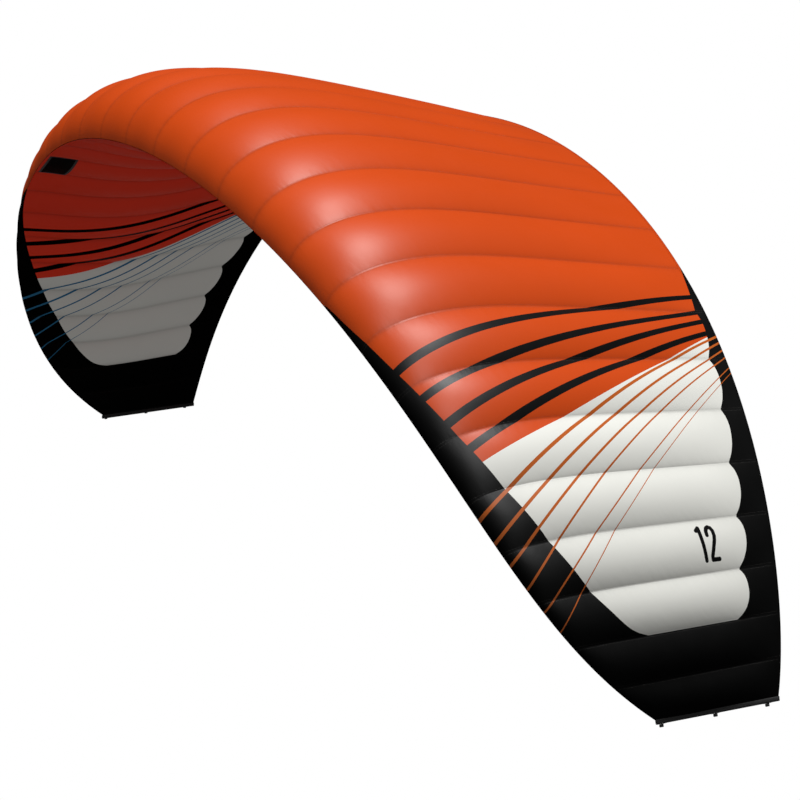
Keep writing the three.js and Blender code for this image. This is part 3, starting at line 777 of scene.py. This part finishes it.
def rounded(points, radius, steps=5):
    """An open line of points with its inner corners rounded."""
    points = [np.array(p, float) for p in points]
    made = [points[0]]
    for before, corner, after in zip(points, points[1:], points[2:]):
        a, b = before - corner, after - corner
        reach = min(radius, np.linalg.norm(a) / 2, np.linalg.norm(b) / 2)
        start = corner + a / np.linalg.norm(a) * reach
        end = corner + b / np.linalg.norm(b) * reach
        for t in np.linspace(0, 1, steps):
            made.append((1 - t) ** 2 * start + 2 * t * (1 - t) * corner + t**2 * end)
    return np.array(made + [points[-1]])


def resampled(path, step):
    """The same line with points at most a step apart."""
    lengths = running_length(path)
    keep = np.concatenate([[True], np.diff(lengths) > 1e-7])
    path, lengths = path[keep], lengths[keep]
    even = np.linspace(0, lengths[-1], int(lengths[-1] / step) + 2)
    marks = np.unique(np.concatenate([lengths, even]))
    return np.stack([np.interp(marks, lengths, path[:, k]) for k in range(3)], axis=1)


# ---- tip sleeves, line loops and their keepers ----

LOOPS = ("front", "middle", "rear")
LOOP_RADIUS, LOOP_WALL, LOOP_WIDTH, LOOP_FOOT = 0.0046, 0.0016, 0.015, 0.008
KEEPER_WIDTH, KEEPER_THICKNESS, KEEPER_HEIGHT = 0.0038, 0.0008, -0.0018
KEEPER_REACH = (0.0075, 0.0100, 0.0190)
SLEEVE_TOP, SLEEVE_HALF, SLEEVE_ARM, SLEEVE_BORE = -0.0050, 0.0055, 0.019, 0.0032
SLEEVE_AXIS, SLEEVE_LIP, SLEEVE_BEVEL, SLEEVE_END, SLEEVE_ROWS = -0.0115, 0.0061, 0.0009, 0.0002, 140
PUCKER_PITCH, PUCKER_SHARE, ARM_LINE = 0.007, 0.03, -0.006


def loop_spot(hand, place_name):
    """A loop's own origin and axes: x along the tip edge and z outwards, down the line."""
    joint = JOINTS[f"{hand}_{place_name}_loop_swing"]
    return np.array(joint["pos_m"]), axes_from(joint["axis"], MOUNTS[f"{hand}_{place_name}_line"]["axis"])


def line_loop(hand, place_name):
    """Webbing bent into a closed loop, with its ends sewn together at the flat foot."""
    name = f"{hand}_{place_name}"
    r, foot = LOOP_RADIUS - LOOP_WALL / 2, LOOP_FOOT - LOOP_WALL / 2
    head = [(0, r * math.sin(t), -r * math.cos(t)) for t in np.linspace(math.pi / 2, -math.pi / 2, 17)]
    ends = rounded([(0, 0, foot), (0, r, foot), (0, r, 0)], 0.0016)
    path = [*ends[:-1], *head, *(ends[:-1] * (1, -1, 1))[::-1]]
    spot = loop_spot(hand, place_name)
    outline = strap_outline(LOOP_WIDTH, LOOP_WALL)
    obj = swept(f"{name}_loop_webbing", path, X_AXIS, outline, spot, webbing, f"{name}_loop")
    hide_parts(f"{name}_line_loop")


def loop_keeper(hand, place_name):
    """A narrow tape through the loop's head, sewn to the sleeve on both sides of it."""
    base, high = SLEEVE_TOP + KEEPER_THICKNESS / 2 - 0.0002, KEEPER_HEIGHT
    half = [(-x, 0, z) for x, z in zip(KEEPER_REACH, (high, base, base))]
    path = resampled(rounded(half[::-1] + [(-x, y, z) for x, y, z in half], 0.0022), 0.001)
    outline = strap_outline(KEEPER_WIDTH, KEEPER_THICKNESS, 0.0002)
    spot = loop_spot(hand, place_name)
    obj = swept(f"{hand}_{place_name}_keeper", path, Y_AXIS, outline, spot, edge_tape, f"{hand}_tip")


def tip_sleeve(hand):
    """Webbing folded over the batten, with its two edges sewn over the tip's skins."""
    origin, axes = loop_spot(hand, "middle")
    node = f"{hand}_tip_sleeve"
    low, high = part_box(node)
    ends = [(value - origin[0]) / axes[0][0] for value in (low.x, high.x)]
    a, top = SLEEVE_HALF, SLEEVE_TOP - SLEEVE_AXIS
    lip = SLEEVE_ARM + SLEEVE_AXIS + SLEEVE_LIP
    outer = [
        (a - SLEEVE_BEVEL, -lip), (a - 0.0002, SLEEVE_BEVEL - lip), (a, -0.004), (a, 0.0012),
        (a - 0.0006, 0.0034), (a - 0.0019, 0.0053), (a - 0.0036, top - 0.0002), (0, top),
    ]
    bore = [(SLEEVE_BORE * math.cos(t), SLEEVE_BORE * math.sin(t)) for t in np.linspace(0, math.pi, 13)]
    inner = [(-SLEEVE_BORE, SLEEVE_BEVEL - lip), (-SLEEVE_BORE - 0.0008, -lip)]
    left = [(-y, z) for y, z in outer[:-1]][::-1]
    outline = np.array(outer + left + inner[::-1] + bore[::-1] + [(-y, z) for y, z in inner])
    xs = np.linspace(ends[0] + SLEEVE_END, ends[1] - SLEEVE_END, SLEEVE_ROWS)
    outlines = np.repeat(outline[None], len(xs), axis=0)
    pucker = 1 + PUCKER_SHARE * np.sin(xs * 2 * np.pi / PUCKER_PITCH)[:, None]
    outlines[:, :, 0] *= np.where(outlines[:, :, 1] < ARM_LINE, pucker, 1.0)
    path = np.stack([xs, np.zeros(len(xs)), np.full(len(xs), SLEEVE_AXIS)], axis=1)
    edge = outline[:, 1] + lip
    name = f"{hand}_tip_sleeve_webbing"
    obj = swept(name, path, Y_AXIS, outlines, (origin, axes), webbing, f"{hand}_tip", edge)
    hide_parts(node)


for hand, side in HANDS:
    tip_sleeve(hand)
    for place_name in LOOPS:
        line_loop(hand, place_name)
        loop_keeper(hand, place_name)

# ---- air intakes ----

NET_HOLES, NET_BAR, NET_DEPTH, NET_INSET = (66, 28), 0.30, 0.0006, (0.004, 0.0004)
INTAKE_TAPE, TAPE_PROUD, TAPE_THICKNESS = 0.011, 0.0006, 0.00096
FLAP_SIZE, FLAP_SAG, FLAP_WAVES = (0.270, 0.113), 0.0022, 7.5
INSIDE_CHORD = 0.05


def bar_marks(low, high, holes):
    """Edges of bars and holes in turn from low to high: bar, hole, bar, ..., bar."""
    bars = {n + share for n in range(holes) for share in (NET_BAR, 1 - NET_BAR)}
    return low + np.array(sorted({0.0, float(holes)} | bars)) / holes * (high - low)


def intake_net(hand, side):
    """A fine net across the opening, with a hole between every two bars each way."""
    (inset_j, inset_f), (near, far) = NET_INSET, INTAKE_MARKS
    j = bar_marks(INTAKE_CELL + inset_j, INTAKE_CELL + 1 - inset_j, NET_HOLES[0])[:, None]
    f = bar_marks(near + inset_f, far - inset_f, NET_HOLES[1])[None, :]
    points = surface(side * station(j), f, False, bulge(j, f) - NET_DEPTH)
    obj = grid_object(f"{hand}_intake_net", points, net_cord, flip=side > 0,
                      keep=lambda i, k: not (i % 2 and k % 2))
    solidify(obj, NET_DEPTH)
    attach(obj, f"{hand}_inner")
    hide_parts(f"{hand}_intake_screen")


def tape_marks(near, far, half, count):
    """Marks over a tape's width at both edges of the opening and between; and which gaps lie inside."""
    across = half * np.linspace(-1, 1, 7)
    between = np.linspace(near + half, far - half, count)[1:-1]
    marks = np.concatenate([near + across, between, far + across])
    return marks, [near + half < middle < far - half for middle in (marks[1:] + marks[:-1]) / 2]


def intake_tape(hand, side):
    """A tape sewn round the opening, over the edges of the net and the skin."""
    cell, (near, far) = INTAKE_CELL, INTAKE_MARKS
    width, depth = float(cell_width(cell)), float(chord(station(cell + 0.5)))
    j, inside_j = tape_marks(cell, cell + 1, INTAKE_TAPE / 2 / width, 26)
    f, inside_f = tape_marks(near, far, INTAKE_TAPE / 2 / depth, 16)
    jj, ff = j[:, None], f[None, :]
    points = surface(side * station(jj), ff, False, bulge(jj, ff) + TAPE_PROUD)
    from_j = np.minimum(np.abs(jj - cell), np.abs(jj - cell - 1)) * width
    from_f = np.minimum(np.abs(ff - near), np.abs(ff - far)) * depth
    across = INTAKE_TAPE / 2 - np.minimum(from_j, from_f)
    run = np.where(from_j < from_f, ff * depth, jj * width)
    cloth = np.stack(np.broadcast_arrays(across, run), -1)
    obj = grid_object(f"{hand}_intake_tape", points, edge_tape, {"Cloth": cloth}, flip=side > 0,
                      keep=lambda i, k: not (inside_j[i] and inside_f[k]))
    solidify(obj, TAPE_THICKNESS)
    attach(obj, f"{hand}_inner")


def valve_flap(hand, side):
    """A soft cloth flap inside the opening, hemmed all round and held along its front edge."""
    joint = JOINTS[f"{hand}_valve_opening"]
    node = f"{hand}_valve_flap"
    low, high = (np.array(corner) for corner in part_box(node))
    middle = (low + high) / 2
    x = np.array(joint["axis"])
    forward = np.array(joint["pos_m"]) - middle
    y = forward - x * (forward @ x)
    axes = axes_from(x, np.cross(x, y))
    a, b = FLAP_SIZE[0] / 2, FLAP_SIZE[1] / 2
    xs, ys = np.linspace(-a, a, 41)[:, None], np.linspace(-b, b, 19)[None, :]
    share = (b - ys) / (2 * b)
    waves = (0.6 + 0.4 * np.cos(xs / a * FLAP_WAVES)) * np.cos(xs / a * np.pi / 2)
    sag = FLAP_SAG * np.sin(np.pi * share) * waves
    inside = camber(side * station(INTAKE_CELL + 0.5), INSIDE_CHORD)
    inwards = np.sign((np.array(inside) - middle) @ axes[2])
    local = np.stack(np.broadcast_arrays(xs, ys, inwards * sag), -1)
    from_x, from_y = a - np.abs(xs), b - np.abs(ys)
    run = np.where(from_x < from_y, ys, xs)
    cloth = np.stack(np.broadcast_arrays(np.minimum(from_x, from_y), run), -1)
    obj = grid_object(f"{hand}_valve_cloth", local @ axes + middle, flap_cloth, {"Cloth": cloth})
    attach(obj, f"{hand}_valve")
    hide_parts(node)


for hand, side in HANDS:
    intake_net(hand, side)
    intake_tape(hand, side)
    valve_flap(hand, side)

# ---- deflate zip ----

TAPE_HALF, TAPE_GAP, TAPE_BASE, TAPE_TOP, ZIP_MARGIN = 0.013, 0.0009, 0.0005, 0.0013, 0.026
END_WIDTH, END_THICKNESS = 0.008, 0.0006
TOOTH_PITCH, TOOTH_REACH, TOOTH_BASE, TOOTH_TOP = 0.0015, 0.0024, 0.0010, 0.0029
TOOTH_SIDE = [(0.5, -1.0), (0.5, 0.1), (0.42, 0.35), (0.2, 0.45)]
SLIDER_LENGTH, SLIDER_HALF, SLIDER_BASE, SLIDER_ROOF, SLIDER_TOP = 0.014, 0.0055, 0.0018, 0.0034, 0.0060
SLIDER_GROOVE, SLIDER_END, SLIDER_ROUND, SLIDER_WAIST = 0.0029, 0.014, 0.0016, 0.24
SLIDER_MARKS = (-0.5, -0.485, -0.45, -0.38, -0.25, -0.1, 0.08, 0.25, 0.38, 0.45, 0.485, 0.5)
BAIL_WIRE, BAIL_RISE, BAIL_REACH = 0.0006, 0.0028, (-0.00195, 0.0026)
PULL_SIZE, PULL_HOLE, PULL_SLOT, PULL_CORNER = (0.034, 0.008, 0.0014), 0.0020, (0.0016, 0.0023), 0.0022
PULL_OVER, PULL_BEVEL, PULL_WAIST, PULL_SIDES = 0.0007, 0.00035, 0.16, 48

ZIP_CELL = 0.5
zip_line = skin_points(1, np.array([ZIP_CELL, ZIP_CELL]), np.array(STRAIGHT_MARKS), False)
zip_run = zip_line[1] - zip_line[0]
zip_axes = axes_from(zip_run, np.cross(zip_run, JOINTS["zip_pull_swing"]["axis"]))
zip_spot = (zip_line.mean(axis=0), zip_axes)
zip_length = float(np.linalg.norm(zip_run)) - 2 * ZIP_MARGIN
slider_x = zip_length / 2 - SLIDER_END
pull_pivot = zip_axes @ (np.array(JOINTS["zip_pull_swing"]["pos_m"]) - zip_spot[0])


def mirrored(points):
    """Points up one side of an outline, then their mirror images down the other."""
    return points + [(-y, z) for y, z in points][::-1]


def zip_tapes():
    outline = strap_outline(TAPE_HALF - TAPE_GAP, TAPE_TOP - TAPE_BASE, 0.0002)
    for index, side in enumerate((1, -1)):
        y, z = side * (TAPE_HALF + TAPE_GAP) / 2, (TAPE_BASE + TAPE_TOP) / 2
        path = [(x, y, z) for x in np.linspace(-zip_length / 2, zip_length / 2, 90)]
        name = f"zip_tape_{index + 1}"
        obj = swept(name, path, Y_AXIS, outline, zip_spot, zip_tape_cloth, "centre_section")
        if index == 0:
            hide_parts("deflate_zip")


def zip_teeth():
    """Moulded teeth that reach over the middle from the two tapes in turn."""
    plan = np.array(mirrored(TOOTH_SIDE)) * (TOOTH_PITCH * 0.82, TOOTH_REACH)
    rings = [(TOOTH_BASE, 1.0), (TOOTH_TOP - 0.0004, 1.0), (TOOTH_TOP, 0.72)]
    count = int((zip_length - 0.006) / TOOTH_PITCH)
    vertices, faces = [], []
    for n in range(count):
        x = (n - (count - 1) / 2) * TOOTH_PITCH
        side = 1 if n % 2 else -1
        start = len(vertices)
        for height, scale in rings:
            vertices += [(x + px * scale, side * py * scale, height) for px, py in plan]
        faces += [[start + v for v in face] for face in grid_faces(len(rings), len(plan), wrap=True)]
        faces.append([start + (len(rings) - 1) * len(plan) + k for k in range(len(plan))])
    origin, axes = zip_spot
    obj = new_object("zip_teeth", np.array(vertices) @ axes + origin, faces, plastic, solid=True)
    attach(obj, "centre_section")


def zip_ends():
    """Short tapes sewn across the two ends of the zip, over its tapes and teeth."""
    half = [(0.004, TAPE_TOP + 0.0004), (TAPE_HALF, TAPE_TOP + 0.0003), (TAPE_HALF + 0.001, -0.0001)]
    line = [(-y, z) for y, z in half[::-1]] + [(0, TOOTH_TOP * 0.62)] + half
    outline = strap_outline(END_WIDTH, END_THICKNESS, 0.0002)
    for index, sign in enumerate((1, -1)):
        x = sign * (zip_length / 2 - 0.001)
        path = resampled(rounded([(x, y, z) for y, z in line], 0.003), 0.001)
        name = f"zip_end_{index + 1}"
        obj = swept(name, path, -X_AXIS, outline, zip_spot, edge_tape, "centre_section")


def slider_body():
    """A waisted body with rounded ends that straddles the teeth."""
    a, g, base, roof, top = SLIDER_HALF, SLIDER_GROOVE, SLIDER_BASE, SLIDER_ROOF, SLIDER_TOP
    right = [
        (g, roof), (g, base), (a - 0.0004, base), (a, base + 0.0004), (a, top - 0.0018),
        (a - 0.0006, top - 0.0009), (a - 0.0018, top - 0.0002), (a - 0.003, top),
    ]
    y, z = np.array(mirrored(right)).T
    xs = SLIDER_LENGTH * np.array(SLIDER_MARKS)
    rows = []
    for x in xs:
        near = min(1.0, (SLIDER_LENGTH / 2 - abs(x)) / SLIDER_ROUND)
        round_off = math.sqrt(1 - (1 - near) ** 2) * 0.3 + 0.7
        waist = 1 - SLIDER_WAIST * math.exp(-(((x + 0.001) / 0.0032) ** 2))
        wide = np.where(np.abs(y) > g, np.sign(y) * (g + (np.abs(y) - g) * waist * round_off), y)
        tall = np.where(z > roof, roof + (z - roof) * round_off, z)
        rows.append(np.stack([wide, tall], axis=1))
    path = [(slider_x + x, 0, 0) for x in xs]
    obj = swept("slider_body", path, Y_AXIS, rows, zip_spot, plastic, "zip_slider")
    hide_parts("deflate_zip_slider")


def slider_bail():
    """The wire arch on the slider that holds the pull tab."""
    low, high = SLIDER_TOP - 0.001, SLIDER_TOP + BAIL_RISE
    back, front = (pull_pivot[0] + reach for reach in BAIL_REACH)
    corners = [(back, 0, low), (back, 0, high), (front, 0, high), (front, 0, low)]
    path = resampled(rounded(corners, 0.0016, 8), 0.0004)
    turns = np.linspace(0, 2 * math.pi, 13)[:-1]
    outline = BAIL_WIRE * np.stack([np.cos(turns), np.sin(turns)], axis=1)
    obj = swept("slider_bail", path, Y_AXIS, outline, zip_spot, plastic, "zip_slider")


def edge_distance(origin, angle, x_low, x_high, half, corner):
    """How far a ray in a flat rounded box runs from origin to its edge."""
    direction = np.array([math.cos(angle), math.sin(angle)])
    low, high = 0.0, 0.1
    for _ in range(40):
        middle = (low + high) / 2
        x, y = np.array(origin) + direction * middle
        dx = max(abs(x - (x_low + x_high) / 2) - ((x_high - x_low) / 2 - corner), 0)
        dy = max(abs(y) - (half - corner), 0)
        low, high = (middle, high) if math.hypot(dx, dy) < corner else (low, middle)
    return low


def pull_tab():
    """A flat tab with a round eye at its free end and a slot for the bail at the other."""
    length, width, thickness = PULL_SIZE
    near, half = pull_pivot[0] + PULL_OVER, width / 2
    far, bevel = near - length, PULL_BEVEL
    split = (far + near) / 2
    low, high = pull_pivot[2] - thickness / 2, pull_pivot[2] + thickness / 2
    eye = ((far + 0.004, 0), (PULL_HOLE, PULL_HOLE), (far, split))
    slot = ((near - 0.0028, 0), PULL_SLOT, (split, near))
    vertices, faces = [], []
    for centre, radii, reach in (eye, slot):
        rows = []
        for angle in np.linspace(0, 2 * math.pi, PULL_SIDES + 1)[:-1]:
            turn = (math.cos(angle), math.sin(angle))
            outer = edge_distance(centre, angle, far, near, half, PULL_CORNER)
            wall = 1.0
            if abs(turn[0]) > 1e-6:
                wall = (reach[1 if turn[0] > 0 else 0] - centre[0]) / turn[0]
            hole = 1 / math.hypot(turn[0] / radii[0], turn[1] / radii[1])
            top = outer - bevel if outer < wall else wall
            outer = min(outer, wall)
            ring = (
                (hole + bevel / 2, low), (hole, low + bevel), (hole, high - bevel), (hole + bevel / 2, high),
                (top, high), (outer, high - bevel), (outer, low + bevel), (top, low),
            )
            for ray, height in ring:
                x = centre[0] + turn[0] * ray
                waist = 1 - PULL_WAIST * math.exp(-(((x - split) / 0.006) ** 2))
                rows.append((x, turn[1] * ray * waist, height))
        start = len(vertices)
        vertices += rows
        quads = grid_faces(PULL_SIDES, len(ring), wrap=True, close=True)
        faces += [[start + v for v in face] for face in quads]
    origin, axes = zip_spot
    obj = new_object("pull_plate", np.array(vertices) @ axes + origin, faces, plastic, solid=True)
    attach(obj, "zip_pull")
    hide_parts("deflate_zip_pull")


for make in (zip_tapes, zip_teeth, zip_ends, slider_body, slider_bail, pull_tab):
    make()

# ---- camera, light and floor ----

EYE = Vector((5.965, 12.831, 3.935))
CAMERA_AXES = (
    (-0.89942, 0.43593, -0.03163),
    (-0.12607, -0.18944, 0.97377),
    (0.41851, 0.87981, 0.22535),
)
LENS = 137.76

camera = bpy.data.objects.new("camera", bpy.data.cameras.new("camera"))
bpy.context.scene.collection.objects.link(camera)
camera.data.lens = LENS
camera.matrix_world = Matrix.Translation(EYE) @ Matrix(CAMERA_AXES).transposed().to_4x4()
camera.data.clip_end = 500
bpy.context.scene.camera = camera

# where each light comes from, its strength and its angle in degrees; the gleam shows only as a shine
SUN_FROM, SUN_STRENGTH, SUN_ANGLE = Vector((0.05, 0.0, 1.0)), 3.5, 20.0
GLEAM_FROM, GLEAM_STRENGTH, GLEAM_ANGLE = Vector((0.45, 0.50, 0.74)), 1.1, 22.0
FILL_LEVEL = 0.21


def sun(name, comes_from, strength, angle):
    lamp = bpy.data.lights.new(name, "SUN")
    lamp.energy, lamp.angle = strength, math.radians(angle)
    obj = bpy.data.objects.new(name, lamp)
    bpy.context.scene.collection.objects.link(obj)
    obj.rotation_euler = comes_from.to_track_quat("Z", "Y").to_euler()
    return obj


sun("studio_lamp", SUN_FROM, SUN_STRENGTH, SUN_ANGLE)
sun("studio_gleam", GLEAM_FROM, GLEAM_STRENGTH, GLEAM_ANGLE).visible_diffuse = False

world = bpy.data.worlds.new("studio")
bpy.context.scene.world = world
world.use_nodes = True
fill = world.node_tree.nodes["Background"].inputs
fill["Color"].default_value, fill["Strength"].default_value = (1, 1, 1, 1), FILL_LEVEL
world.cycles_visibility.glossy = False

FLOOR_DROP, FLOOR_RADIUS, WALL_HEIGHT, WALL_BEND = 24.0, 90.0, 70.0, 20.0
STAGE_SIDES, BEND_STEPS = 64, 12


def backdrop():
    """A round white floor that curves up into a wall and a ceiling, which only the camera sees."""
    low = cad_box[0].z - FLOOR_DROP
    profile = [(0.01, low), (FLOOR_RADIUS / 2, low), (FLOOR_RADIUS, low)]
    for angle in np.linspace(0, math.pi / 2, BEND_STEPS + 1)[1:]:
        out, rise = WALL_BEND * math.sin(angle), WALL_BEND * (1 - math.cos(angle))
        profile.append((FLOOR_RADIUS + out, low + rise))
    profile += [(FLOOR_RADIUS + WALL_BEND, low + WALL_HEIGHT), (0.01, low + WALL_HEIGHT)]
    turns = np.linspace(0, 2 * np.pi, STAGE_SIDES + 1)
    points = np.array([[[r * math.cos(t), r * math.sin(t), z] for r, z in profile] for t in turns])
    white = Material("backdrop_white", Base_Color=(0, 0, 0, 1), Specular_IOR_Level=0.0,
                     Emission_Color=(1, 1, 1, 1), Emission_Strength=1.0)
    obj = grid_object("backdrop", points, white.made, flip=True)
    for ray in ("diffuse", "glossy", "transmission", "volume_scatter", "shadow"):
        setattr(obj, f"visible_{ray}", False)


backdrop()

bpy.context.scene.view_settings.view_transform = "Standard"

# the battens stay the CAD's own solids, with a material and rounded ends
for hand, _ in HANDS:
    batten = frame["nodes"][f"{hand}_tip_batten"]
    batten.data.materials.clear()
    batten.data.materials.append(fibre)
    rounding = batten.modifiers.new("rounded_ends", "BEVEL")
    rounding.width, rounding.segments = 0.0006, 3
